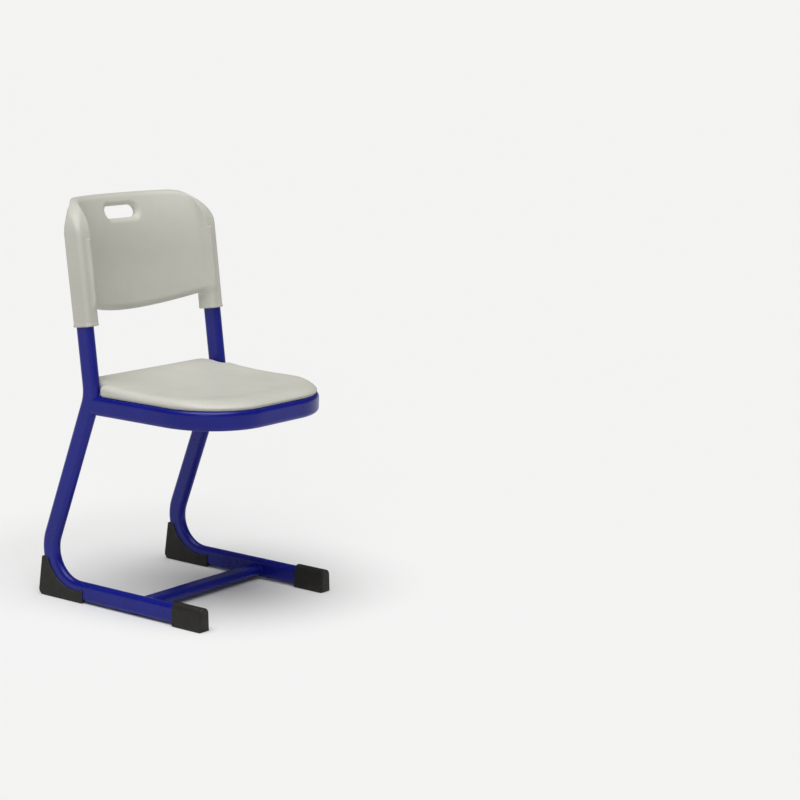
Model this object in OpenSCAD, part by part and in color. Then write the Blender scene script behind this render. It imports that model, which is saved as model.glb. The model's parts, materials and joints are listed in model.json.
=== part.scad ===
// Classroom chair: two bent flat-oval side tubes that stand on their own runners, a bent seat
// rim, a hollow moulded seat panel and a hollow moulded backrest that slides over the uprights.
// Frame: +Z up, the sitter faces -Y, the sitter's left is +X, floor at z = 0.

/* [Steel tube] */
// Tall side of the flat-oval tube
tube_h = 40; // [34:1:44]
// Narrow side of the flat-oval tube
tube_w = 20; // [18:1:22]
// Wall of the tube
tube_wall = 1.5; // [1.2:0.1:2]

/* [Side frames] */
// Overall width across the two side tubes
frame_w = 406; // [390:1:440]
// Lean of the leg from vertical, lower end to the rear
leg_rake = 20; // [18:0.5:22]
// Lean of the upright from vertical, upper end to the rear
upright_rake = 8; // [6:0.5:10]
// Height of the knee where leg and upright meet
knee_z = 431; // [425:1:440]
// Height of the runner's centreline
runner_z = 23; // [23:1:25]
// Where the leg's centreline would meet the runner's
heel_corner_y = 247; // [243:1:250]
// Centreline radius of the bend at the floor
heel_bend_r = 80; // [75:1:85]
// Centreline radius of the bend at the knee
knee_bend_r = 90; // [70:5:110]
// Length of upright above the knee point
upright_l = 326; // [310:1:335]

/* [Seat frame] */
// Height of the seat rim's centreline
rim_z = 414; // [410:1:416]
// Front face of the seat rim
rim_front_y = -239.5; // [-245:0.5:-235]
// Centreline radius of the rim's front corners
rim_corner_r = 130; // [100:5:140]
// Centre of the crossbar between the runners
crossbar_y = -16.5; // [-40:0.5:10]
// Height of that crossbar's centre
crossbar_z = 18; // [16:1:22]

/* [Seat panel] */
// Gap between the rim and the panel's underside
seat_gap = 1.5; // [1:0.1:2]
// How far the panel's side stands in from the rim's outer face
seat_inset = 4; // [3:0.5:6]
// Thickness of the panel at the bottom of the dish
seat_t = 15; // [12:1:17]
// Rise of the panel's rear edge above the dish
seat_rear_rise = 16; // [10:1:18]
// Rise of the panel's front above the dish
seat_front_rise = 4; // [2:1:6]
// Moulded skin thickness
skin = 3; // [2.5:0.1:3.5]

/* [Backrest] */
// Distance up the upright from the knee to the sleeves' lower ends
back_low = 140; // [130:1:150]
// Height of the backrest along the upright
back_h = 261; // [250:1:262]
// Half width of the backrest
back_half_w = 207; // [206:1:210]
// How far the panel's front face is bowed behind the uprights' centre plane
back_bow = 42; // [35:1:48]
// Thickness of the bowed panel
back_t = 16; // [14:1:20]
// Height along the upright where the panel starts to curve back
back_roll_z = 140; // [130:1:160]
// Radius of that curve on the panel's front face
back_roll_r = 300; // [290:5:340]
// Radius of the upper corners
back_corner_r = 75; // [65:1:85]
// Width of the hand hole
hand_w = 92; // [80:1:105]
// Height of the hand hole
hand_h = 26; // [22:1:34]

/* [Feet] */
// Length of the front cap
cap_l = 76; // [65:1:85]
// Front face of the front cap
cap_front_y = -203; // [-210:1:-195]
// Width of the rear foot
foot_w = 26; // [25:0.5:28]
// Height of the rear foot's tip
foot_tip_z = 82; // [75:1:86]

/* [Fasteners] */
// Shank of the seat screws
seat_screw_d = 6; // [5:1:6]
// Shank of the self-tapping screws
tap_screw_d = 4; // [3.5:0.5:4.5]
// Plate thickness of the seat brackets
plate_t = 3; // [2.5:0.5:4]

/* [Hidden] */
$fn = 96;

paint = "#2b2f86";
pale = "#cfcfc8";
black = "#2f2e2b";
zinc = "#b9bcc0";

tube_x = (frame_w - tube_w) / 2;      // centre of each side tube
inner_x = tube_x - tube_w / 2;        // inner face of each side tube
rim_top = rim_z + tube_h / 2;
fit = 0.2;                            // working clearance of a push fit
eps = 0.01;
bend_swell = 0.05;                    // a bend's wall is this much thicker on each face
bend_lap = 0.5;                       // how far a straight runs into the wall of a bend

// Points of the side tube's centreline in the side plane (y, z)
knee_y = heel_corner_y - (knee_z - runner_z) * tan(leg_rake);
leg_dir = [-sin(leg_rake), cos(leg_rake)];
upright_dir = [sin(upright_rake), cos(upright_rake)];
heel_turn = 90 + leg_rake;
heel_tangent = heel_bend_r * tan(heel_turn / 2);
heel_centre = [heel_corner_y - heel_tangent, runner_z + heel_bend_r];
knee_turn = leg_rake + upright_rake;
knee_tangent = knee_bend_r * tan(knee_turn / 2);
knee = [knee_y, knee_z];
knee_centre = knee - leg_dir * knee_tangent + [cos(leg_rake), sin(leg_rake)] * knee_bend_r;
cap_wall = 4;
runner_front = [cap_front_y + cap_wall, runner_z];
runner_rear = [heel_centre[0], runner_z];
leg_low = [heel_corner_y, runner_z] + leg_dir * heel_tangent;
leg_high = knee - leg_dir * knee_tangent;
upright_low = knee + upright_dir * knee_tangent;
upright_high = knee + upright_dir * upright_l;

// Seat rim and panel in plan
rim_centre_y = rim_front_y + tube_w / 2;
rim_bend_y = rim_centre_y + rim_corner_r;
rail_y = knee_y + 5;
seat_low = rim_top + seat_gap;
seat_dish_z = seat_low + seat_t;
seat_half_w = frame_w / 2 - seat_inset;
seat_front_y = rim_front_y + seat_inset;
seat_corner_r = rim_corner_r + tube_w / 2 - seat_inset;
seat_rear_y = knee_y + 29;
notch_gap = 3;                        // air between the panel and the upright it passes
seat_notch_y = knee_y - tube_h / 2 - notch_gap;
seat_neck_half = inner_x - 2;
seat_rear_r = 34;
seat_dish_y = (seat_front_y + seat_rear_y) / 2 - 10;
seat_steps = 24;

// Self-tapping screws
pilot_d = tap_screw_d - 0.6;
tap_head_d = 9;
tap_head_h = 2.6;
tap_screw_l = 12;
flat_head_d = 7.6;
flat_head_h = 2.1;
flat_screw_l = 8;
flat_screw_z = 0.4;
recess_l = 4.4;
recess_w = 1;
recess_depth = 1.3;

// Seat brackets and what holds the panel to them
bracket_y = [-88, 46];
bracket_l = 34;
bracket_reach = 32;
bracket_drop = 26;
bracket_hole_x = inner_x - 18;
screw_play = 0.6;
boss_d = 22;
blow_hole_d = 8;
insert_d = 9;
insert_l = 11;
washer_d = 16;
washer_t = 1.5;
seat_screw_l = 14;
seat_head_h = 3.6;
hex_key_d = 4;
hex_key_depth = 2;

// Backrest in its own frame: X across, Y to the rear, Z up the upright
sleeve_wall = 3;
sleeve_in = inner_x - 11;
sleeve_front = -tube_h / 2 - sleeve_wall;
sleeve_rear = tube_h / 2 + sleeve_wall;
sleeve_r = 15;
panel_half = 166;
panel_edge_y = sleeve_front + 13;
panel_clip = sleeve_in + 4;
panel_sag = back_bow - panel_edge_y;
panel_r = (panel_half * panel_half + panel_sag * panel_sag) / (2 * panel_sag);
wing_roll_z = 173;                    // where the front of the sleeve starts to roll over
wing_roll_r = 90;
shoulder_clip = back_half_w - sleeve_r - 2;
shoulder_z = wing_roll_z + 9;
back_lap = 0.3;                       // how far a trimming surface clears the face it runs into
panel_low = 19;
panel_low_r = 815;
hand_z = back_h - 40;
back_screw_z = 26;

// Plugs in the upper ends of the tubes
plug_l = 18;
plug_head = 3;
plug_wall = 2.5;

// Rear foot in the side plane
foot_wall = 6.75;
heel_back_y = heel_centre[0] + heel_bend_r + tube_h / 2 + foot_wall;
heel_r = 12;
foot_tip_in = 2;                      // the tip leans in from the back of the bend
foot_tail_y = heel_centre[0] - 16;
foot_lip_low = heel_bend_r - 3;
foot_lip_high = heel_bend_r + 4;
foot_tail_angle = -102;
foot_tip_angle = -15;
foot_screws_y = [heel_centre[0] - 6, cap_front_y + 52];
cap_low_w = 29;
cap_top_r = 12.5;
cap_h = 48;

// Points of an arc whose radius may change evenly from r0 to r1
function arc(c, r0, r1, a0, a1, n) =
    [for (i = [0:n]) let (u = i / n, a = a0 + (a1 - a0) * u) c + (r0 + (r1 - r0) * u) * [cos(a), sin(a)]];

// Flat-oval outline, w across and h tall
module oval(w, h) {
    square([w, h - w], center = true);
    for (s = [-1, 1]) translate([0, s * (h - w) / 2]) circle(d = w);
}

// Tube's outline, solid or as a wall, swollen on each face of that wall
module tube_outline(solid = false, swell = 0) {
    bore = 2 * (tube_wall + swell);
    difference() {
        oval(tube_w + 2 * swell, tube_h + 2 * swell);
        if (!solid) oval(tube_w - bore, tube_h - bore);
    }
}

// Children at a point of the side plane, with +Z along the tube
module along(a, d) {
    translate([0, a[0], a[1]]) rotate([atan2(d[1], d[0]) - 90, 0, 0]) children();
}

// Straight tube between two points of the side plane, run past them by a lap at each end
module side_run(a, b, lap_a, lap_b, solid) {
    d = (b - a) / norm(b - a);
    along(a - d * lap_a, d) linear_extrude(norm(b - a) + lap_a + lap_b) tube_outline(solid);
}

// Bent tube about a centre in the side plane
module side_bend(c, r, a0, sweep, solid) {
    translate([0, c[0], c[1]]) rotate([90, 0, 90]) rotate([0, 0, a0])
        rotate_extrude(angle = sweep) translate([r, 0]) rotate(90) tube_outline(solid, bend_swell);
}

// Whole side tube about x = 0
module side_path(solid = false) {
    side_run(runner_front, runner_rear, 0, bend_lap, solid);
    side_bend(heel_centre, heel_bend_r, -90, heel_turn, solid);
    side_run(leg_low, leg_high, bend_lap, bend_lap, solid);
    side_bend(knee_centre, knee_bend_r, 180 - upright_rake, knee_turn, solid);
    side_run(upright_low, upright_high, bend_lap, 0, solid);
}

// Places children in the backrest's own frame
module on_upright() {
    base = knee + upright_dir * back_low;
    translate([0, base[0], base[1]]) rotate([-upright_rake, 0, 0]) children();
}

// Pilot holes in the runner for the screws of its foot and cap
module runner_pilots() {
    for (y = foot_screws_y) translate([0, y, 0]) cylinder(d = pilot_d, h = flat_screw_z + flat_screw_l + 2);
}

module side_tube(side) {
    color(paint) difference() {
        translate([side * tube_x, 0, 0]) difference() {
            side_path();
            runner_pilots();
        }
        on_upright() translate([side * tube_x, 0, back_screw_z]) rotate([-90, 0, 0])
            cylinder(d = pilot_d, h = tube_h);
    }
}

module side_tube_right() { side_tube(-1); }
module side_tube_left() { side_tube(1); }

module rim_corner(side) {
    translate([side * (tube_x - rim_corner_r), rim_bend_y, rim_z])
        rotate([0, 0, side > 0 ? -90 : 180])
            rotate_extrude(angle = 90) translate([rim_corner_r, 0]) tube_outline();
}

module seat_rim() {
    color(paint) difference() {
        union() {
            for (side = [-1, 1]) {
                rim_corner(side);
                translate([side * tube_x, rim_bend_y, rim_z]) rotate([-90, 0, 0])
                    linear_extrude(knee_y - rim_bend_y) tube_outline();
            }
            translate([rim_corner_r - tube_x, rim_centre_y, rim_z]) rotate([0, 90, 0])
                linear_extrude(2 * (tube_x - rim_corner_r)) rotate(90) tube_outline();
        }
        for (side = [-1, 1]) translate([side * tube_x, 0, 0]) side_path(true);
    }
}

module cross_tube(y, z, turn) {
    translate([-inner_x, y, z]) rotate([0, 90, 0])
        linear_extrude(2 * inner_x) rotate(turn) tube_outline();
}

module rear_seat_rail() { color(paint) cross_tube(rail_y, rim_z, 90); }
module floor_crossbar() { color(paint) cross_tube(crossbar_y, crossbar_z, 0); }

// Folded plate welded to the inner face of the rim
module seat_bracket(side, y) {
    color(paint) translate([side * inner_x, y, rim_top]) mirror([side > 0 ? 1 : 0, 0, 0])
        difference() {
            union() {
                translate([0, -bracket_l / 2, -plate_t]) cube([bracket_reach, bracket_l, plate_t]);
                translate([0, -bracket_l / 2, -bracket_drop]) cube([plate_t, bracket_l, bracket_drop]);
            }
            translate([inner_x - bracket_hole_x, 0, -plate_t - 1])
                cylinder(d = seat_screw_d + screw_play, h = plate_t + 2);
        }
}

module seat_bracket_front_right() { seat_bracket(-1, bracket_y[0]); }
module seat_bracket_front_left() { seat_bracket(1, bracket_y[0]); }
module seat_bracket_rear_right() { seat_bracket(-1, bracket_y[1]); }
module seat_bracket_rear_left() { seat_bracket(1, bracket_y[1]); }

// Children at each of the four seat fixings
module at_seat_fixings() {
    for (side = [-1, 1], y = bracket_y) translate([side * bracket_hole_x, y, rim_top]) children();
}

// Seat panel in plan, drawn inwards by cut
module seat_plan(cut = 0) {
    w = seat_half_w - cut;
    r = seat_corner_r - cut;
    low = seat_front_y + cut;
    neck = seat_neck_half - cut;
    back = seat_rear_y - cut;
    rr = seat_rear_r - cut;
    for (side = [-1, 1]) {
        translate([side * (w - r), low + r]) circle(r);
        translate([side * (neck - rr), back - rr]) circle(rr);
    }
    translate([r - w, low]) square([2 * (w - r), r]);
    translate([-w, low + r]) square([2 * w, seat_notch_y - cut - low - r]);
    translate([-neck, low + r]) square([2 * neck, back - rr - low - r]);
    translate([rr - neck, back - rr - eps]) square([2 * (neck - rr), rr + eps]);
}

// Height of the panel's top over the dish at a given y
function seat_top(y) =
    let (u = y > seat_dish_y
            ? (y - seat_dish_y) / (seat_rear_y - seat_dish_y)
            : (seat_dish_y - y) / (seat_dish_y - seat_front_y))
    y > seat_dish_y ? seat_rear_rise * u * u : seat_front_rise * (1 - cos(180 * u)) / 2;

// Seat panel in side view, drawn inwards by cut
module seat_side(cut = 0) {
    y0 = seat_front_y - 1;
    y1 = seat_rear_y + 1;
    top = [for (i = [0:seat_steps]) let (y = y1 + (y0 - y1) * i / seat_steps)
           [y, seat_dish_z + seat_top(y) - cut]];
    polygon(concat([[y0, seat_low + cut], [y1, seat_low + cut]], top));
}

module seat_form(cut) {
    intersection() {
        linear_extrude(2 * knee_z) seat_plan(cut);
        rotate([90, 0, 90]) linear_extrude(frame_w, center = true) seat_side(cut);
    }
}

// Hollow moulding with a blow hole underneath and a solid boss at each fixing
module seat_panel() {
    color(pale) difference() {
        union() {
            difference() {
                seat_form(0);
                seat_form(skin);
                translate([0, 0, seat_low - 1]) cylinder(d = blow_hole_d, h = skin + 2);
            }
            at_seat_fixings() cylinder(d = boss_d, h = seat_t);
        }
        at_seat_fixings() translate([0, 0, -eps]) cylinder(d = insert_d, h = insert_l + eps);
    }
}

// Threaded brass sleeves moulded into the panel's bosses
module seat_inserts() {
    color("goldenrod") at_seat_fixings() difference() {
        cylinder(d = insert_d, h = insert_l);
        translate([0, 0, -1]) cylinder(d = seat_screw_d, h = insert_l);
    }
}

module seat_washers() {
    color(zinc) at_seat_fixings() translate([0, 0, -plate_t - washer_t]) difference() {
        cylinder(d = washer_d, h = washer_t);
        translate([0, 0, -1]) cylinder(d = seat_screw_d + screw_play, h = washer_t + 2);
    }
}

// Hexagon-socket screws, heads below the brackets
module seat_screws() {
    under = -plate_t - washer_t;
    color(zinc) at_seat_fixings() {
        translate([0, 0, under]) cylinder(d = seat_screw_d, h = seat_screw_l);
        translate([0, 0, under - seat_head_h]) difference() {
            cylinder(d = 2 * seat_screw_d, h = seat_head_h);
            translate([0, 0, -1]) cylinder(d = hex_key_d, h = 1 + hex_key_depth, $fn = 6);
        }
    }
}

// Backrest seen from the front, drawn inwards by cut
module back_front(cut = 0) {
    w = back_half_w + back_lap - cut;
    h = back_h - cut;
    r = back_corner_r - cut;
    translate([-w, 0]) square([2 * w, h - r]);
    translate([r - w, 0]) square([2 * (w - r), h]);
    for (side = [-1, 1]) translate([side * (w - r), h - r]) circle(r);
}

module hand_hole(cut = 0) {
    w = hand_w + 2 * cut;
    h = hand_h + 2 * cut;
    translate([0, hand_z]) rotate(90) oval(h, w);
}

// Side view of the panel, with the radius of its bow across, drawn inwards by cut
module panel_profile(cut) {
    translate([panel_r + cut, 0]) square([back_t - 2 * cut, back_roll_z + eps]);
    translate([panel_r + back_roll_r, back_roll_z]) intersection() {
        difference() {
            circle(back_roll_r - cut, $fn = 180);
            circle(back_roll_r - back_t + cut, $fn = 180);
        }
        translate([-back_roll_r, 0]) square([back_roll_r, back_h]);
    }
}

// What is trimmed off the front so that the sleeves and shoulders roll over, grown by cut
module front_scoop(cut = 0) {
    centre_y = sleeve_front - back_lap + wing_roll_r;
    rotate([90, 0, 90]) linear_extrude(3 * back_half_w, center = true) difference() {
        translate([-2 * tube_h, wing_roll_z]) square([2 * tube_h + centre_y, back_h]);
        translate([centre_y, wing_roll_z]) circle(wing_roll_r - cut, $fn = 180);
    }
}

// Width of the panel, which runs out into the solid shoulders above the sleeves
module panel_width(cut) {
    half = panel_clip - 2 * cut;
    wide = cut > 0 ? half : shoulder_clip;
    translate([-half, -1]) square([2 * half, 2 + back_h]);
    translate([-wide, shoulder_z]) square([2 * wide, 1 + back_h - shoulder_z]);
}

// Bowed panel that curves back at the top, drawn inwards by cut
module panel_form(cut = 0) {
    intersection() {
        translate([0, back_bow - panel_r, 0]) rotate([0, 0, 45])
            rotate_extrude(angle = 90, $fn = 240) panel_profile(cut);
        rotate([90, 0, 0]) linear_extrude(6 * tube_h, center = true) intersection() {
            difference() {
                back_front(cut);
                hand_hole(cut);
            }
            panel_width(cut);
            translate([0, panel_low + panel_low_r]) circle(panel_low_r - cut, $fn = 360);
        }
    }
}

// Outline of one sleeve in plan
module sleeve_plan() {
    w = back_half_w - sleeve_in;
    h = sleeve_rear - sleeve_front;
    translate([sleeve_in, sleeve_front]) {
        translate([sleeve_r, 0]) square([w - 2 * sleeve_r, h]);
        translate([0, sleeve_r]) square([w, h - 2 * sleeve_r]);
        for (x = [sleeve_r, w - sleeve_r], y = [sleeve_r, h - sleeve_r]) translate([x, y]) circle(sleeve_r);
    }
}

// Hollow panel with a blow hole in its lower edge, and a sleeve for each upright
module backrest_shell() {
    socket_l = upright_l - back_low + plug_head + 2;
    color(pale) on_upright() difference() {
        union() {
            panel_form();
            intersection() {
                for (side = [0, 1]) mirror([side, 0, 0]) linear_extrude(back_h) sleeve_plan();
                rotate([90, 0, 0]) linear_extrude(6 * tube_h, center = true) back_front();
            }
        }
        front_scoop();
        difference() {
            panel_form(skin);
            front_scoop(skin);
        }
        translate([0, back_bow + back_t / 2, panel_low - 1]) cylinder(d = blow_hole_d, h = skin + 2);
        for (side = [-1, 1]) translate([side * tube_x, 0, 0]) {
            translate([0, 0, -1]) linear_extrude(socket_l + 1) oval(tube_w + 2 * fit, tube_h + 2 * fit);
            translate([0, 0, back_screw_z]) rotate([-90, 0, 0]) cylinder(d = tap_screw_d, h = tube_h);
        }
    }
}

// Cross recess of a screw head, cut from below
module cross_recess() {
    for (turn = [0, 90]) rotate(turn) translate([-recess_l / 2, -recess_w / 2, -1])
        cube([recess_l, recess_w, 1 + recess_depth]);
}

// Pan-head self-tapping screw pointing up, underside of the head at z = 0
module pan_screw() {
    cylinder(d = pilot_d, h = tap_screw_l);
    translate([0, 0, -tap_head_h]) difference() {
        cylinder(d = tap_head_d, h = tap_head_h + eps);
        cross_recess();
    }
}

// Countersunk screw pointing up, flat of the head at z = 0
module flat_screw() {
    difference() {
        cylinder(d1 = flat_head_d, d2 = pilot_d, h = flat_head_h);
        cross_recess();
    }
    translate([0, 0, recess_depth + fit]) cylinder(d = pilot_d, h = flat_screw_l);
}

// Hole for that screw in a foot or cap, from the sole upwards
module flat_screw_hole(y) {
    translate([0, y, -1]) cylinder(d = flat_head_d, h = 1 + flat_screw_z);
    translate([0, y, flat_screw_z]) cylinder(d1 = flat_head_d, d2 = pilot_d, h = flat_head_h);
    translate([0, y, 0]) cylinder(d = tap_screw_d, h = 8);
}

module backrest_screws() {
    color(zinc) on_upright() for (side = [-1, 1])
        translate([side * tube_x, sleeve_rear, back_screw_z]) rotate([90, 0, 0]) pan_screw();
}

// Plastic plug that closes the upper end of the tube
module upright_plug(side) {
    core = tube_wall + fit;
    color(black) on_upright() translate([side * tube_x, 0, upright_l - back_low]) {
        linear_extrude(plug_head) oval(tube_w, tube_h);
        translate([0, 0, -plug_l]) linear_extrude(plug_l + eps) difference() {
            oval(tube_w - 2 * core, tube_h - 2 * core);
            oval(tube_w - 2 * (core + plug_wall), tube_h - 2 * (core + plug_wall));
        }
    }
}

module upright_plug_right() { upright_plug(-1); }
module upright_plug_left() { upright_plug(1); }

// Cap section: flat base, sides that lean in, round top
module cap_section() {
    lean = atan2(cap_low_w / 2 - cap_top_r, cap_h - cap_top_r);
    tip = [cap_top_r * cos(lean), cap_h - cap_top_r + cap_top_r * sin(lean)];
    translate([0, cap_h - cap_top_r]) circle(cap_top_r);
    polygon([[-cap_low_w / 2, 0], [cap_low_w / 2, 0], tip, [-tip[0], tip[1]]]);
}

module front_cap(side) {
    color(black) translate([side * tube_x, 0, 0]) difference() {
        translate([0, cap_front_y + cap_l, 0]) rotate([90, 0, 0]) linear_extrude(cap_l) cap_section();
        side_path(true);
        flat_screw_hole(foot_screws_y[1]);
    }
}

module front_cap_right() { front_cap(-1); }
module front_cap_left() { front_cap(1); }

// Rear foot seen from the side
module foot_side() {
    lip = arc(heel_centre, foot_lip_low, foot_lip_high, foot_tail_angle, foot_tip_angle, 12);
    tip = [heel_centre[0] + heel_bend_r + tube_h / 2 - foot_tip_in, foot_tip_z];
    heel = arc([heel_back_y - heel_r, heel_r], heel_r, heel_r, 0, -90, 6);
    polygon(concat(lip, [tip], heel, [[foot_tail_y, 0]]));
}

module rear_foot(side) {
    color(black) translate([side * tube_x, 0, 0]) difference() {
        rotate([90, 0, 90]) linear_extrude(foot_w, center = true) foot_side();
        side_path(true);
        flat_screw_hole(foot_screws_y[0]);
    }
}

module rear_foot_right() { rear_foot(-1); }
module rear_foot_left() { rear_foot(1); }

module foot_screws() {
    color(zinc) for (side = [-1, 1], y = foot_screws_y)
        translate([side * tube_x, y, flat_screw_z]) flat_screw();
}

side_tube_right();
side_tube_left();
seat_rim();
rear_seat_rail();
floor_crossbar();
seat_bracket_front_right();
seat_bracket_front_left();
seat_bracket_rear_right();
seat_bracket_rear_left();
seat_panel();
seat_inserts();
seat_washers();
seat_screws();
backrest_shell();
backrest_screws();
upright_plug_right();
upright_plug_left();
front_cap_right();
front_cap_left();
rear_foot_right();
rear_foot_left();
foot_screws();
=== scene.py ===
"""Classroom chair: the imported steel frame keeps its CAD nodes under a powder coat, and the
moulded seat, backrest, caps and feet are meshed from distance fields around it.
Lengths inside the field functions are millimetres; every object is in metres."""

import json
import math

import bpy
import numpy as np
from mathutils import Matrix, Vector


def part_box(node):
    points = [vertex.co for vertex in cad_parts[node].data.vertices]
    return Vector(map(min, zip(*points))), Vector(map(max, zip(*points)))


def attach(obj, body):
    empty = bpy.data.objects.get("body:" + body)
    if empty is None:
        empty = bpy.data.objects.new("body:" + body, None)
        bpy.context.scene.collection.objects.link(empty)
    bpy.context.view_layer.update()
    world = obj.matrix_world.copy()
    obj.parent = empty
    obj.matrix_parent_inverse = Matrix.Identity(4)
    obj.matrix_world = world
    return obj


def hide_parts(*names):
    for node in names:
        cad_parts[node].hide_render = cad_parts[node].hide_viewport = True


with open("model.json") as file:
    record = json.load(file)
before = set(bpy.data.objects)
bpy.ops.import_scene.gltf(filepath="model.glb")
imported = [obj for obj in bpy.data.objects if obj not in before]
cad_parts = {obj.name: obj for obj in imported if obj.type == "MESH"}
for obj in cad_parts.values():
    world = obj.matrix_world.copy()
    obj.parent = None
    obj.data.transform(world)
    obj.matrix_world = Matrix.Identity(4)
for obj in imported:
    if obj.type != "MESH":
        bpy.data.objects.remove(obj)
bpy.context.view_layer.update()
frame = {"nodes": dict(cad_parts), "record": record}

MM = 0.001
SIDES = (("right", -1), ("left", 1))

# Sizes that the moulded pieces share with the frame
TUBE_HALF_W = 10.0
TUBE_HALF_H = 20.0
PUSH_FIT = 0.1
UPRIGHT_RAKE = math.radians(8)
HEEL_BEND_R = 80.0
RUNNER_Z = 23.0


def box_mm(node):
    """Lowest and highest corner of a CAD node in millimetres."""
    low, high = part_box(node)
    return np.array(low) / MM, np.array(high) / MM


TUBE_LOW, TUBE_HIGH = box_mm("side_tube_left")
TUBE_X = (TUBE_LOW[0] + TUBE_HIGH[0]) / 2
CAP_LOW, CAP_HIGH = box_mm("front_cap_left")
FOOT_LOW, FOOT_HIGH = box_mm("rear_foot_left")
SEAT_LOW, SEAT_HIGH = box_mm("seat_panel")
BACK_LOW, BACK_HIGH = box_mm("backrest_shell")
RIM_LOW, RIM_HIGH = box_mm("seat_rim")
HEEL_Y = TUBE_HIGH[1] - HEEL_BEND_R - TUBE_HALF_H
HEEL_Z = RUNNER_Z + HEEL_BEND_R


# ---------------------------------------------------------------- distance fields

def step_up(value, low, high):
    """Smooth step from 0 at low to 1 at high."""
    t = np.clip((value - low) / (high - low), 0, 1)
    return t * t * (3 - 2 * t)


def both(a, b, r):
    """Where two solids overlap, with an edge of radius r."""
    return np.minimum(-r, np.maximum(a, b)) + np.hypot(np.maximum(a + r, 0), np.maximum(b + r, 0))


def either(a, b, r):
    """Two solids joined, with a fillet of radius r."""
    return np.maximum(r, np.minimum(a, b)) - np.hypot(np.maximum(r - a, 0), np.maximum(r - b, 0))


def flat_oval(across, along, grow):
    """Distance to the flat-oval tube's section, grown on each side."""
    return np.hypot(across, np.maximum(np.abs(along) - TUBE_HALF_H + TUBE_HALF_W, 0)) - TUBE_HALF_W - grow


def rounded_plan(x, y, half, corner):
    """Distance to a rectangle about the origin with one corner radius or an array of them."""
    dx = np.abs(x) - half[0] + corner
    dy = np.abs(y) - half[1] + corner
    return np.hypot(np.maximum(dx, 0), np.maximum(dy, 0)) + np.minimum(np.maximum(dx, dy), 0) - corner


def polygon_distance(y, z, points):
    """Signed distance to a closed polygon, negative inside."""
    nearest = np.full(y.shape, np.inf)
    inside = np.zeros(y.shape, bool)
    for (ay, az), (by, bz) in zip(points, points[1:] + points[:1]):
        ey, ez = by - ay, bz - az
        t = np.clip(((y - ay) * ey + (z - az) * ez) / (ey * ey + ez * ez), 0, 1)
        nearest = np.minimum(nearest, np.hypot(y - ay - t * ey, z - az - t * ez))
        if abs(ez) > 1e-9:
            crosses = (az > z) != (bz > z)
            inside ^= crosses & (y < ay + (z - az) * ey / ez)
    return np.where(inside, -nearest, nearest)


# ---------------------------------------------------------------- meshing

def cells_about(edges, axis):
    """Crossing edges along one axis as seen from the four cells round each edge."""
    others = [a for a in range(3) if a != axis]
    for first in (0, 1):
        for second in (0, 1):
            window = [slice(None)] * 3
            window[others[0]] = slice(first, edges.shape[others[0]] - 1 + first)
            window[others[1]] = slice(second, edges.shape[others[1]] - 1 + second)
            yield tuple(window), {others[0]: first, others[1]: second}


def net_points(value, inside):
    """Cell index of each surface point, and the points in cell units."""
    count = np.zeros([n - 1 for n in value.shape], np.float32)
    place = np.zeros(count.shape + (3,), np.float32)
    for axis in range(3):
        lead, trail = [slice(None)] * 3, [slice(None)] * 3
        lead[axis], trail[axis] = slice(None, -1), slice(1, None)
        a, b = value[tuple(lead)], value[tuple(trail)]
        cross = inside[tuple(lead)] != inside[tuple(trail)]
        share = np.where(cross, a / np.where(cross, a - b, 1), 0)
        for window, offset in cells_about(cross, axis):
            hit = cross[window]
            count += hit
            place[..., axis] += share[window]
            for other, shift in offset.items():
                place[..., other] += shift * hit
    used = count > 0
    number = np.full(count.shape, -1, np.int64)
    number[used] = np.arange(used.sum())
    return number, np.argwhere(used) + place[used] / count[used][:, None]


def net_faces(inside, number):
    """A quad round each grid edge that the surface crosses, wound to face outwards."""
    quads = []
    for axis in range(3):
        b, c = (axis + 1) % 3, (axis + 2) % 3
        lead, trail = [slice(None)] * 3, [slice(None)] * 3
        lead[axis], trail[axis] = slice(None, -1), slice(1, None)
        starts = inside[tuple(lead)]
        where = np.argwhere(starts != inside[tuple(trail)])
        ring = []
        for shift_b, shift_c in ((1, 1), (0, 1), (0, 0), (1, 0)):
            cell = where.copy()
            cell[:, b] -= shift_b
            cell[:, c] -= shift_c
            ring.append(number[tuple(cell.T)])
        ring = np.stack(ring, 1)
        outward = starts[tuple(where.T)]
        quads.append(np.where(outward[:, None], ring, ring[:, ::-1]))
    return np.concatenate(quads)


def settle(points, field, reach, rounds=3):
    """Moves points along the field's slope until they lie on its surface."""
    probe = 0.02
    for _ in range(rounds):
        x, y, z = points.T
        slope = np.stack([
            field(x + probe, y, z) - field(x - probe, y, z),
            field(x, y + probe, z) - field(x, y - probe, z),
            field(x, y, z + probe) - field(x, y, z - probe)], 1) / (2 * probe)
        steep = np.maximum((slope ** 2).sum(1), 0.05)
        move = -(field(x, y, z) / steep)[:, None] * slope
        length = np.linalg.norm(move, axis=1, keepdims=True)
        points = points + move * np.minimum(1, reach / np.maximum(length, 1e-9))
    return points


def relax(points, quads, rounds):
    """Evens the quads out by moving each point towards its neighbours."""
    for _ in range(rounds):
        total = np.zeros_like(points)
        count = np.zeros(len(points))
        for corner in range(4):
            for neighbour in (quads[:, (corner + 1) % 4], quads[:, corner - 1]):
                np.add.at(total, quads[:, corner], points[neighbour])
                np.add.at(count, quads[:, corner], 1)
        points = points + 0.5 * (total / count[:, None] - points)
    return points


def field_mesh(field, low, high, step):
    """Closed quad mesh of the surface where field is zero, between two corners."""
    margin = 2 * step
    axes = [np.arange(a - margin, b + margin + step, step) for a, b in zip(low, high)]
    value = field(*np.meshgrid(*axes, indexing="ij"))
    inside = value < 0
    number, cells = net_points(value, inside)
    quads = net_faces(inside, number)
    points = cells * step + np.array([a[0] for a in axes])
    points = settle(points, field, step)
    points = settle(relax(points, quads, 2), field, step)
    return points, quads


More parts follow.
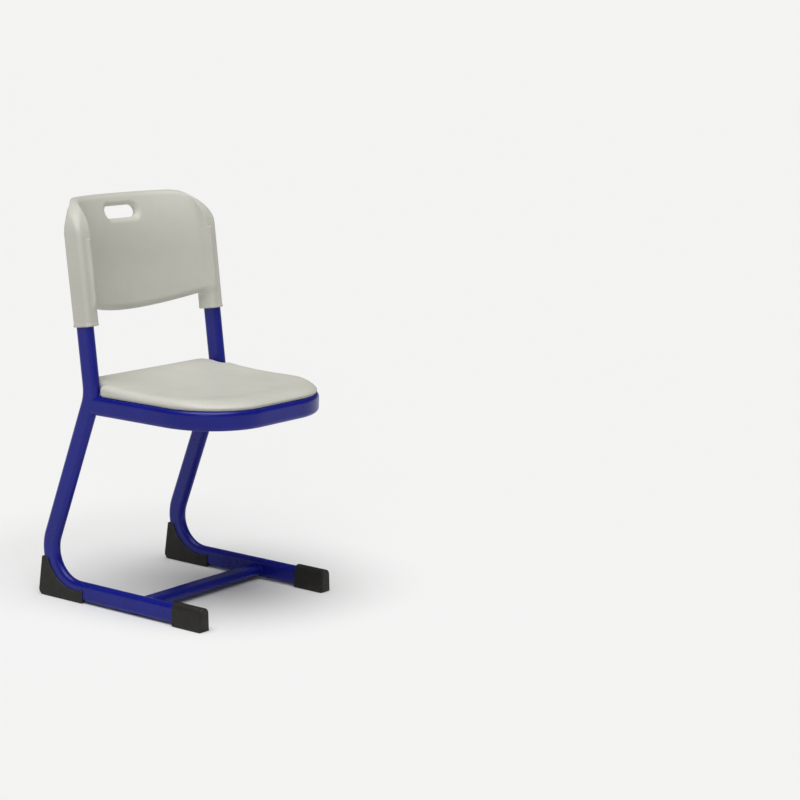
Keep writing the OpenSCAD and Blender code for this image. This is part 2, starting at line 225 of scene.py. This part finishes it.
def make_piece(name, points, faces, material, stands_for=()):
    """Smooth object from points in millimetres, riding on the frame."""
    mesh = bpy.data.meshes.new(name)
    mesh.from_pydata((np.asarray(points) * MM).tolist(), [], np.asarray(faces).tolist())
    mesh.validate()
    mesh.shade_smooth()
    piece = bpy.data.objects.new(name, mesh)
    bpy.context.scene.collection.objects.link(piece)
    mesh.materials.append(material)
    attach(piece, "root")
    if stands_for:
        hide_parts(*stands_for)
    return piece


# ---------------------------------------------------------------- materials

class Nodes:
    """Small helper round one material's node tree."""

    def __init__(self, name):
        self.material = bpy.data.materials.new(name)
        self.material.use_nodes = True
        self.tree = self.material.node_tree
        self.shader = self.tree.nodes["Principled BSDF"]
        self.place = self.tree.nodes.new("ShaderNodeTexCoord").outputs["Object"]

    def link(self, source, target):
        self.tree.links.new(source, target)

    def noise(self, size_mm, detail=3.0, stretch=(1, 1, 1)):
        """Noise whose lumps are about size_mm across."""
        scale = self.tree.nodes.new("ShaderNodeMapping")
        scale.inputs["Scale"].default_value = stretch
        self.link(self.place, scale.inputs["Vector"])
        noise = self.tree.nodes.new("ShaderNodeTexNoise")
        noise.inputs["Scale"].default_value = 1 / (size_mm * MM)
        noise.inputs["Detail"].default_value = detail
        self.link(scale.outputs["Vector"], noise.inputs["Vector"])
        return noise.outputs["Fac"]

    def span(self, value, low, high, start, end):
        """Maps low..high of value to start..end."""
        node = self.tree.nodes.new("ShaderNodeMapRange")
        for label, number in (("From Min", low), ("From Max", high), ("To Min", start), ("To Max", end)):
            node.inputs[label].default_value = number
        self.link(value, node.inputs["Value"])
        return node.outputs["Result"]

    def calc(self, kind, a, b):
        node = self.tree.nodes.new("ShaderNodeMath")
        node.operation = kind
        for socket, value in zip(node.inputs, (a, b)):
            if isinstance(value, (int, float)):
                socket.default_value = value
            else:
                self.link(value, socket)
        return node.outputs["Value"]

    def mix(self, share, a, b):
        """Colour a to colour b; each is a tuple or a socket."""
        node = self.tree.nodes.new("ShaderNodeMix")
        node.data_type = "RGBA"
        self.link(share, node.inputs["Factor"])
        for socket, colour in ((node.inputs[6], a), (node.inputs[7], b)):
            if isinstance(colour, tuple):
                socket.default_value = (*colour, 1)
            else:
                self.link(colour, socket)
        return node.outputs[2]

    def edges(self, low, high):
        """1 on convex edges, 0 elsewhere."""
        geometry = self.tree.nodes.new("ShaderNodeNewGeometry")
        return self.span(geometry.outputs["Pointiness"], low, high, 0, 1)

    def height(self):
        """Height above the floor in metres."""
        split = self.tree.nodes.new("ShaderNodeSeparateXYZ")
        self.link(self.place, split.inputs["Vector"])
        return split.outputs["Z"]

    def bump(self, layers):
        """Stacks bumps, each a (height socket, depth in mm, strength)."""
        normal = None
        for height, depth_mm, strength in layers:
            node = self.tree.nodes.new("ShaderNodeBump")
            node.inputs["Distance"].default_value = depth_mm * MM
            node.inputs["Strength"].default_value = strength
            self.link(height, node.inputs["Height"])
            if normal is not None:
                self.link(normal, node.inputs["Normal"])
            normal = node.outputs["Normal"]
        self.link(normal, self.shader.inputs["Normal"])

    def finish(self, colour, roughness):
        self.link(colour, self.shader.inputs["Base Color"])
        self.link(roughness, self.shader.inputs["Roughness"])
        return self.material


def powder_coat():
    """Semi-gloss blue powder coat: orange peel, slow colour drift, dull scuffs near the floor."""
    n = Nodes("powder_coat_blue")
    drift = n.span(n.noise(90, 2), 0.35, 0.65, 0, 1)
    colour = n.mix(drift, (0.0035, 0.0065, 0.190), (0.0050, 0.0090, 0.225))
    low_down = n.span(n.height(), 0.02, 0.12, 1, 0)
    scuff = n.calc("MULTIPLY", n.span(n.noise(7, 6, (1, 0.25, 1)), 0.60, 0.72, 0, 0.4), low_down)
    colour = n.mix(scuff, colour, (0.030, 0.034, 0.170))
    worn = n.span(n.noise(35, 3), 0.3, 0.7, 0.26, 0.33)
    rough = n.calc("ADD", worn, n.calc("MULTIPLY", scuff, 0.5))
    n.bump([(n.noise(4.5, 2), 0.05, 0.16)])
    n.shader.inputs["Specular IOR Level"].default_value = 0.30
    return n.finish(colour, rough)


def pale_plastic():
    """Blow-moulded light grey plastic: fine spark-eroded grain, faint handling marks."""
    n = Nodes("plastic_pale_grey")
    drift = n.span(n.noise(120, 3), 0.35, 0.65, 0, 1)
    colour = n.mix(drift, (0.540, 0.535, 0.475), (0.575, 0.572, 0.512))
    mottle = n.span(n.noise(6, 5), 0.45, 0.75, 0, 0.3)
    colour = n.mix(mottle, colour, (0.525, 0.515, 0.450))
    scratch = n.span(n.noise(3.5, 8, (0.12, 1, 1)), 0.66, 0.74, 0, 0.2)
    colour = n.mix(scratch, colour, (0.63, 0.63, 0.585))
    rough = n.calc("ADD", n.span(n.noise(22, 4), 0.3, 0.7, 0.42, 0.52), n.calc("MULTIPLY", scratch, 0.3))
    n.bump([(n.noise(9, 2), 0.10, 0.15), (n.noise(1.4, 3), 0.05, 0.22)])
    n.shader.inputs["Specular IOR Level"].default_value = 0.35
    return n.finish(colour, rough)


def black_plastic():
    """Charcoal polypropylene: grained, its convex edges painted a little greyer as painted edge sheen and
    rub wear.
    """
    n = Nodes("plastic_charcoal")
    drift = n.span(n.noise(25, 4), 0.35, 0.65, 0, 1)
    colour = n.mix(drift, (0.0125, 0.0115, 0.0100), (0.0175, 0.0165, 0.0145))
    # painted edge sheen and rub wear: convex edges mixed towards a lighter grey through noise
    edge_sheen_and_rub = n.calc("MULTIPLY", n.edges(0.52, 0.60), n.span(n.noise(4, 5), 0.35, 0.65, 0.35, 1))
    colour = n.mix(edge_sheen_and_rub, colour, (0.060, 0.058, 0.053))
    dust = n.calc("MULTIPLY", n.span(n.height(), 0.0, 0.015, 0.25, 0), n.span(n.noise(5, 5), 0.4, 0.7, 0, 1))
    colour = n.mix(dust, colour, (0.080, 0.076, 0.066))
    rough = n.span(n.noise(12, 4), 0.3, 0.7, 0.48, 0.62)
    n.bump([(n.noise(3.5, 3), 0.07, 0.20), (n.noise(1.2, 3), 0.04, 0.22)])
    n.shader.inputs["Specular IOR Level"].default_value = 0.30
    return n.finish(colour, rough)


def plated(name, dark, light, roughness):
    """Plated or turned metal with fine grain and a soft tarnish."""
    n = Nodes(name)
    colour = n.mix(n.span(n.noise(2.5, 5), 0.35, 0.65, 0, 1), dark, light)
    rough = n.span(n.noise(0.8, 4), 0.3, 0.7, roughness - 0.06, roughness + 0.10)
    n.bump([(n.noise(0.35, 3, (1, 1, 6)), 0.01, 0.3)])
    n.shader.inputs["Metallic"].default_value = 1.0
    return n.finish(colour, rough)


# ---------------------------------------------------------------- backrest

BACK_SLEEVE_HALF = 23.0
BACK_BASE_Y = BACK_LOW[1] + BACK_SLEEVE_HALF * math.cos(UPRIGHT_RAKE)
BACK_BASE_Z = BACK_LOW[2] + BACK_SLEEVE_HALF * math.sin(UPRIGHT_RAKE)
BACK_H = 261.0
BACK_HALF = 207.0
BACK_CORNER = 68.0
BACK_BOW = 42.0
BACK_T = 16.0
BOW_R = 291.0
ROLL_S = 140.0                         # the panel curves back above this
ROLL_R = 300.0
SCOOP_S = 173.0                        # the sleeves' fronts roll back above this
SCOOP_R = 90.0
SCOOP_Y = SCOOP_R - BACK_SLEEVE_HALF - 0.3
SLEEVE_INNER = 172.0
SOCKET_TOP = 189.5
WING_S = (186, 230)                     # the edges grow rounder over this height
REAR_S = 195.0                         # the wings' rears follow the curve above this
REAR_GROWTH = 0.004
HAND_S = 221.0
HAND_HALF_FLAT = 33.0
HAND_R = 13.0
PANEL_LOW = 19.0
PANEL_LOW_R = 815.0


def backrest_field(x, y, s):
    """x across, y to the rear of the uprights' centre plane, s up the upright."""
    side = np.abs(x)
    lip = 0.8 * step_up(s, 7, 3)
    behind = np.hypot(x, y - BACK_BOW + BOW_R) - BOW_R
    bow = ROLL_R - np.hypot(behind - ROLL_R, np.maximum(s - ROLL_S, 0)) - BACK_T / 2
    front_edge = step_up(bow, 3, -6)
    hand = np.hypot(np.maximum(side - HAND_HALF_FLAT, 0), s - HAND_S) - HAND_R
    lower = np.hypot(x, s - PANEL_LOW - PANEL_LOW_R) - PANEL_LOW_R
    panel = both(np.abs(bow) - BACK_T / 2, lower, 5 + 9 * front_edge)
    panel = both(panel, -hand, 4 + 7.5 * front_edge)
    panel = np.maximum(panel, side - SLEEVE_INNER - 8 - 10 * step_up(s, SCOOP_S + 4, SCOOP_S + 24))
    rounder = step_up(s, *WING_S)
    rear = BACK_SLEEVE_HALF + REAR_GROWTH * np.maximum(s - REAR_S, 0) ** 2
    walls = np.maximum(y - rear, -y - BACK_SLEEVE_HALF)
    sleeve = both(SLEEVE_INNER - side, walls, 10 + 4 * rounder) - lip
    depth = either(panel, sleeve, 14)
    scoop = np.hypot(np.minimum(y - SCOOP_Y, 0), s - SCOOP_S) - SCOOP_R
    depth = np.maximum(depth, np.where(s > SCOOP_S, scoop, depth))
    taper = (1 - np.clip(s / 140, 0, 1)) - lip
    dx = side + taper - BACK_HALF + BACK_CORNER
    ds = s + 0.00015 * x * x - BACK_H + BACK_CORNER
    outline = np.hypot(np.maximum(dx, 0), np.maximum(ds, 0))
    outline = outline + np.minimum(np.maximum(dx, ds), 0) - BACK_CORNER
    wing = step_up(side, 160, 182)
    edge_r = (4 + 7.5 * front_edge) * (1 - wing) + (9 + 7 * rounder) * wing
    shell = both(depth, outline, edge_r)
    shell = both(shell, -s, 2.5)
    socket = np.maximum(flat_oval(side - TUBE_X, y, PUSH_FIT), s - SOCKET_TOP)
    return np.maximum(shell, -socket)


def build_backrest(material):
    step = 1.7
    points, quads = field_mesh(backrest_field, (-BACK_HALF, -30, 0), (BACK_HALF, 90, BACK_H), step)
    x, y, s = points.T
    lean, rise = math.sin(UPRIGHT_RAKE), math.cos(UPRIGHT_RAKE)
    placed = np.stack([x, BACK_BASE_Y + y * rise + s * lean, BACK_BASE_Z - y * lean + s * rise], 1)
    return make_piece("backrest_moulding", placed, quads, material, ["backrest_shell"])


# ---------------------------------------------------------------- seat

SEAT_UNDER = RIM_HIGH[2] + 1.5
SEAT_DISH = SEAT_UNDER + 15.0
SEAT_HALF = SEAT_HIGH[0]
SEAT_FRONT = SEAT_LOW[1]
SEAT_REAR = SEAT_HIGH[1]
SEAT_NOTCH = 75.5
SEAT_NECK_HALF = 181.0
SEAT_FRONT_R = 136.0
SEAT_REAR_R = 34.0
SEAT_DISH_Y = -64.0
SEAT_REAR_RISE = 16.0
BORDER_RISE = 1.5
RIDGE_INSET = 6.0
BOSS_R = 11.0
BOSS_X = TUBE_LOW[0] - 18.0
BOSS_Y = (-88.0, 46.0)


def seat_distance(x, y):
    """Distance outside the panel's outline in plan."""
    middle = (SEAT_FRONT + SEAT_NOTCH) / 2
    corner = np.where(y < middle, SEAT_FRONT_R, 8.0)
    main = rounded_plan(x, y - middle, (SEAT_HALF, (SEAT_NOTCH - SEAT_FRONT) / 2), corner)
    neck_low = -60.0
    neck_mid = (neck_low + SEAT_REAR) / 2
    neck = rounded_plan(x, y - neck_mid, (SEAT_NECK_HALF, (SEAT_REAR - neck_low) / 2), SEAT_REAR_R)
    return either(main, neck, 6)


def seat_crest(x, y, inset):
    """Height of the top face before its edge rolls over."""
    rear = np.clip((y - SEAT_DISH_Y) / (SEAT_REAR - SEAT_DISH_Y), 0, 1)
    front = step_up(y, -120, -205)
    wide = 22 + 20 * front
    border = BORDER_RISE * (1 - step_up(inset, wide, wide + 46)) * (1 - 0.75 * rear)
    hollow = -1.5 * np.exp(-((x / 120) ** 2 + ((y + 40) / 110) ** 2))
    return SEAT_DISH + SEAT_REAR_RISE * rear ** 2 + border + hollow


def seat_field(x, y, z):
    plan = seat_distance(x, y)
    inset = np.maximum(-plan, 0)
    front = step_up(y, -120, -205)
    roll_w = 17 + 27 * front
    roll_h = 12 + 3 * front
    crest = seat_crest(x, y, inset)
    curl = np.hypot(np.maximum(roll_w + plan, 0) / roll_w, np.maximum(z - crest + roll_h, 0) / roll_h)
    shell = both((curl - 1) * roll_h, SEAT_UNDER - z, 3.5)
    recess = both(rounded_plan(x, y + 50, (150, 120), 60), z - SEAT_UNDER - 2.5, 1.5)
    shell = np.maximum(shell, -recess)
    ridge = np.maximum(np.abs(plan + RIDGE_INSET) - 4, y - SEAT_NOTCH)
    ridge = np.maximum(ridge, np.maximum(RIM_HIGH[2] + 0.05 - z, z - SEAT_UNDER - 3))
    shell = np.minimum(shell, ridge)
    for boss_y in BOSS_Y:
        post = np.hypot(np.abs(x) - BOSS_X, y - boss_y) - BOSS_R
        post = np.maximum(post, np.maximum(RIM_HIGH[2] - z, z - SEAT_DISH + 3))
        shell = np.minimum(shell, post)
    return shell


def build_seat(material):
    step = 1.7
    low = (-SEAT_HALF, SEAT_FRONT, RIM_HIGH[2] - 1)
    points, quads = field_mesh(seat_field, low, (SEAT_HALF, SEAT_REAR, SEAT_HIGH[2] + 6), step)
    return make_piece("seat_moulding", points, quads, material, ["seat_panel"])


# ---------------------------------------------------------------- caps and feet

CAP_BASE_HALF = 14.5
CAP_TOP_R = 12.5
CAP_CENTRE_Z = CAP_HIGH[2] - CAP_TOP_R
CAP_WALL = 4.0
FOOT_HALF = 13.0
FOOT_SIDE_HALF = 12.3
HEEL_CORNER = 12.0
LIP_LOW_R = 77.0
LIP_HIGH_R = 84.0
LIP_TAIL = math.radians(-102)
LIP_TIP = math.radians(-15)


def cap_field(x, y, z):
    """Front cap about x = 0."""
    lean = (CAP_BASE_HALF - CAP_TOP_R) / CAP_CENTRE_Z
    flank = np.abs(x) - CAP_BASE_HALF + lean * z
    section = np.where(z < CAP_CENTRE_Z, flank, np.hypot(x, z - CAP_CENTRE_Z) - CAP_TOP_R)
    ends = both(-z, y - CAP_HIGH[1], 6)
    body = both(both(section, ends, 1.6), CAP_LOW[1] - y, 3.2)
    socket = np.maximum(flat_oval(x, z - RUNNER_Z, PUSH_FIT), CAP_LOW[1] + CAP_WALL - y)
    return np.maximum(body, -socket)


def foot_outline():
    """Rear foot seen from the side, as (y, z) points."""
    steps = 14
    points = []
    for i in range(steps + 1):
        share = i / steps
        angle = LIP_TAIL + (LIP_TIP - LIP_TAIL) * share
        radius = LIP_LOW_R + (LIP_HIGH_R - LIP_LOW_R) * share
        points.append((HEEL_Y + radius * math.cos(angle), HEEL_Z + radius * math.sin(angle)))
    points.append((TUBE_HIGH[1] - 2, FOOT_HIGH[2]))
    for i in range(7):
        angle = -math.pi / 2 * i / 6
        corner_y = FOOT_HIGH[1] - HEEL_CORNER
        corner_z = HEEL_CORNER + HEEL_CORNER * math.sin(angle)
        points.append((corner_y + HEEL_CORNER * math.cos(angle), corner_z))
    points.append((FOOT_LOW[1] + 5, 0.0))
    points.append((FOOT_LOW[1], 4.0))
    return points


FOOT_OUTLINE = foot_outline()


def foot_field(x, y, z):
    """Rear foot about x = 0, channelled for the heel bend."""
    out_y, out_z = y - HEEL_Y, z - HEEL_Z
    angle = np.arctan2(out_z, out_y)
    share = np.clip((angle - LIP_TAIL) / (LIP_TIP - LIP_TAIL), 0, 1)
    from_lip = np.abs(np.hypot(out_y, out_z) - LIP_LOW_R - (LIP_HIGH_R - LIP_LOW_R) * share)
    bead = (FOOT_HALF - FOOT_SIDE_HALF) * step_up(from_lip, 3.4, 2.0)
    profile = polygon_distance(y, z, FOOT_OUTLINE)
    body = both(profile, np.abs(x) - FOOT_SIDE_HALF - bead, 1.8)
    off_path = np.where(out_y > 0, np.hypot(out_y, out_z) - HEEL_BEND_R, RUNNER_Z - z)
    return np.maximum(body, -flat_oval(x, off_path, PUSH_FIT))


def build_feet(material):
    step = 1.1
    half = CAP_BASE_HALF
    made = (
        ("front_cap", cap_field, (-half, CAP_LOW[1], 0), (half, CAP_HIGH[1], CAP_HIGH[2])),
        ("rear_foot", foot_field, (-FOOT_HALF, FOOT_LOW[1], 0), (FOOT_HALF, FOOT_HIGH[1], FOOT_HIGH[2])),
    )
    for name, field, low, high in made:
        points, quads = field_mesh(field, low, high, step)
        for side, sign in SIDES:
            shifted = points + np.array([sign * TUBE_X, 0, 0])
            title = f"{name}_moulding_{side}"
            make_piece(title, shifted, quads, material, [f"{name}_{side}"])


# ---------------------------------------------------------------- weld beads

def oval_ring(count, grow):
    """Points round the tube's flat-oval outline, the tall way second."""
    points = []
    straight = TUBE_HALF_H - TUBE_HALF_W
    for i in range(count):
        turn = 2 * math.pi * i / count
        lift = straight if math.sin(turn) > 0 else -straight
        points.append(((TUBE_HALF_W + grow) * math.cos(turn), lift + (TUBE_HALF_W + grow) * math.sin(turn)))
    return points


def bead_mesh(path, outward, radius):
    """Rippled weld bead swept along a closed path; outward is its side direction at each point."""
    around, count = 10, len(path)
    points, faces = [], []
    for i, (centre, out) in enumerate(zip(path, outward)):
        ahead = Vector(path[(i + 1) % count]) - Vector(path[i - 1])
        ahead.normalize()
        out = Vector(out)
        up = ahead.cross(out).normalized()
        swell = radius * (1 + 0.10 * math.sin(i * 2 * math.pi / 5) + 0.05 * math.sin(i * 1.7))
        for j in range(around):
            turn = 2 * math.pi * j / around
            points.append(tuple(Vector(centre) + swell * (math.cos(turn) * out + math.sin(turn) * up)))
    for i in range(count):
        for j in range(around):
            a, b = i * around, (i + 1) % count * around
            k = (j + 1) % around
            faces.append((a + j, a + k, b + k, b + j))
    return points, faces


def build_welds(material):
    """Beads where the crossbar and the seat rail meet the side tubes."""
    count, radius = 80, 1.7
    for node, tall in (("floor_crossbar", False), ("rear_seat_rail", True)):
        low, high = box_mm(node)
        centre = (low + high) / 2
        for side, sign in SIDES:
            path, outward = [], []
            for a, b in oval_ring(count, 0.4):
                dy, dz = (a, b) if tall else (b, a)
                path.append((sign * (high[0] - 0.3), centre[1] + dy, centre[2] + dz))
                length = math.hypot(dy, dz)
                outward.append((0, dy / length, dz / length))
            points, faces = bead_mesh(path, outward, radius)
            make_piece(f"weld_{node}_{side}", points, faces, material)


# ---------------------------------------------------------------- stage

def soft_sun(name, source, spread, strength):
    """Distant light from a direction (x, y, z), as wide as spread degrees."""
    data = bpy.data.lights.new(name, "SUN")
    data.angle = math.radians(spread)
    data.energy = strength
    light = bpy.data.objects.new(name, data)
    bpy.context.scene.collection.objects.link(light)
    light.rotation_euler = Vector(source).to_track_quat("Z", "Y").to_euler()


def build_stage():
    """Pale floor that rises far away to hide the horizon, and a broad and a weak light."""
    turns, radii = 96, (20.0, 40.0, 70.0, 110.0, 160.0, 230.0, 310.0, 400.0)
    points, faces = [(0, 0, 0)], []
    for radius in radii:
        rise = 20.0 * (max(radius - 40.0, 0) / 360.0) ** 2
        for i in range(turns):
            angle = 2 * math.pi * i / turns
            points.append((radius * math.cos(angle), radius * math.sin(angle), rise))
    for i in range(turns):
        j = (i + 1) % turns
        faces.append((0, 1 + i, 1 + j))
        for ring in range(len(radii) - 1):
            inner, outer = 1 + ring * turns, 1 + (ring + 1) * turns
            faces.append((inner + i, outer + i, outer + j, inner + j))
    mesh = bpy.data.meshes.new("floor")
    mesh.from_pydata(points, [], faces)
    mesh.shade_smooth()
    floor = bpy.data.objects.new("floor", mesh)
    bpy.context.scene.collection.objects.link(floor)
    paper = bpy.data.materials.new("floor_paper")
    paper.use_nodes = True
    paper.node_tree.nodes["Principled BSDF"].inputs["Base Color"].default_value = (0.82, 0.82, 0.815, 1)
    paper.node_tree.nodes["Principled BSDF"].inputs["Roughness"].default_value = 1.0
    paper.node_tree.nodes["Principled BSDF"].inputs["Specular IOR Level"].default_value = 0.0
    mesh.materials.append(paper)
    world = bpy.data.worlds.new("studio")
    world.use_nodes = True
    world.node_tree.nodes["Background"].inputs["Color"].default_value = (1.0, 1.0, 1.0, 1)
    world.node_tree.nodes["Background"].inputs["Strength"].default_value = 0.13
    bpy.context.scene.world = world
    soft_sun("overhead", (-0.22, -0.13, 0.967), 55, 3.05)
    soft_sun("fill", (-0.76, -0.51, 0.41), 20, 0.18)


def build_camera():
    """Long lens, from the front right of the sitter, a little above the seat."""
    turn, tilt, roll = math.radians(-54.24), math.radians(10.56), math.radians(1.42)
    ahead = Vector((-math.sin(turn) * math.cos(tilt), math.cos(turn) * math.cos(tilt), -math.sin(tilt)))
    right = Vector((math.cos(turn), math.sin(turn), 0))
    up = right.cross(ahead)
    level, upright = right.copy(), up.copy()
    right = level * math.cos(roll) + upright * math.sin(roll)
    up = upright * math.cos(roll) - level * math.sin(roll)
    data = bpy.data.cameras.new("camera")
    data.sensor_width = 36.0
    data.lens = 99.2
    data.clip_end = 1000
    camera = bpy.data.objects.new("camera", data)
    bpy.context.scene.collection.objects.link(camera)
    camera.matrix_world = Matrix((
        (right.x, up.x, -ahead.x, -3.351),
        (right.y, up.y, -ahead.y, -2.9344),
        (right.z, up.z, -ahead.z, 1.2474),
        (0, 0, 0, 1)))
    bpy.context.scene.camera = camera


# ---------------------------------------------------------------- the chair

paint = powder_coat()
pale = pale_plastic()
charcoal = black_plastic()
zinc = plated("zinc_plate", (0.46, 0.47, 0.49), (0.62, 0.63, 0.65), 0.32)
brass = plated("turned_brass", (0.62, 0.44, 0.18), (0.78, 0.58, 0.26), 0.30)
finishes = {"frame_paint": paint, "pale_plastic": pale, "black_plastic": charcoal,
            "zinc_steel": zinc, "brass": brass}

for part in frame["record"]["subparts"]:
    node = frame["nodes"][part["node"]]
    node.data.materials.clear()
    node.data.materials.append(finishes[part["material_slot"]])

build_backrest(pale)
build_seat(pale)
build_feet(charcoal)
build_welds(paint)
build_stage()
build_camera()
bpy.context.scene.view_settings.view_transform = "Standard"
